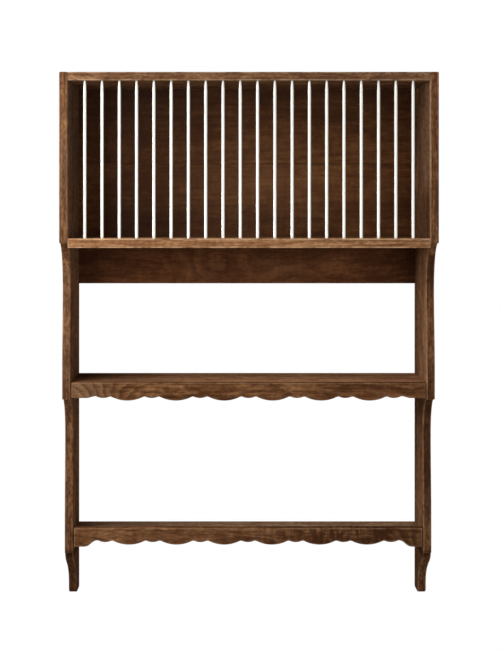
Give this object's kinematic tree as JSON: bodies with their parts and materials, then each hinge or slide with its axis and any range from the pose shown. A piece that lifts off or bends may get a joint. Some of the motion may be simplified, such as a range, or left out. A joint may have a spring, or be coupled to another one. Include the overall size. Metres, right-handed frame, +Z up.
{
  "type": "wall plate rack",
  "caption": "Wall-hung wooden plate rack: an open box with upright rods in front, over two open shelves with scalloped aprons, between shaped side panels.",
  "frame": {"origin": "on the wall plane, midway between the keyhole hangers of the two side panels", "axes": "+Z up, +Y towards the wall, +X to the right as seen from the front"},
  "size_m": [0.8, 0.2, 1.148],
  "materials": {
    "dark_wood": "dark brown stained hardwood, satin waxed",
    "white_rod": "white lacquered turned wood",
    "plug_wood": "dark stained end-grain plug, flush",
    "dowel_wood": "raw pale hardwood",
    "steel": "zinc plated steel"
  },
  "bodies": {
    "root": {"left_side": "dark_wood", "right_side": "dark_wood", "top_board": "dark_wood", "rack_floor": "dark_wood", "back_board_upper": "dark_wood", "back_board_lower": "dark_wood", "back_nails": "steel", "hanging_rail": "dark_wood", "rod_01": "white_rod", "rod_02": "white_rod", "rod_03": "white_rod", "rod_04": "white_rod", "rod_05": "white_rod", "rod_06": "white_rod", "rod_07": "white_rod", "rod_08": "white_rod", "rod_09": "white_rod", "rod_10": "white_rod", "rod_11": "white_rod", "rod_12": "white_rod", "rod_13": "white_rod", "rod_14": "white_rod", "rod_15": "white_rod", "rod_16": "white_rod", "rod_17": "white_rod", "rod_18": "white_rod", "rod_19": "white_rod", "rod_20": "white_rod", "mid_shelf": "dark_wood", "mid_apron": "dark_wood", "mid_dowels": "dowel_wood", "lower_shelf": "dark_wood", "lower_apron": "dark_wood", "lower_dowels": "dowel_wood", "left_side_screws": "steel", "left_side_plugs": "plug_wood", "left_hanger": "steel", "right_side_screws": "steel", "right_side_plugs": "plug_wood", "right_hanger": "steel", "hanger_screws": "steel"}
  },
  "joints": []
}
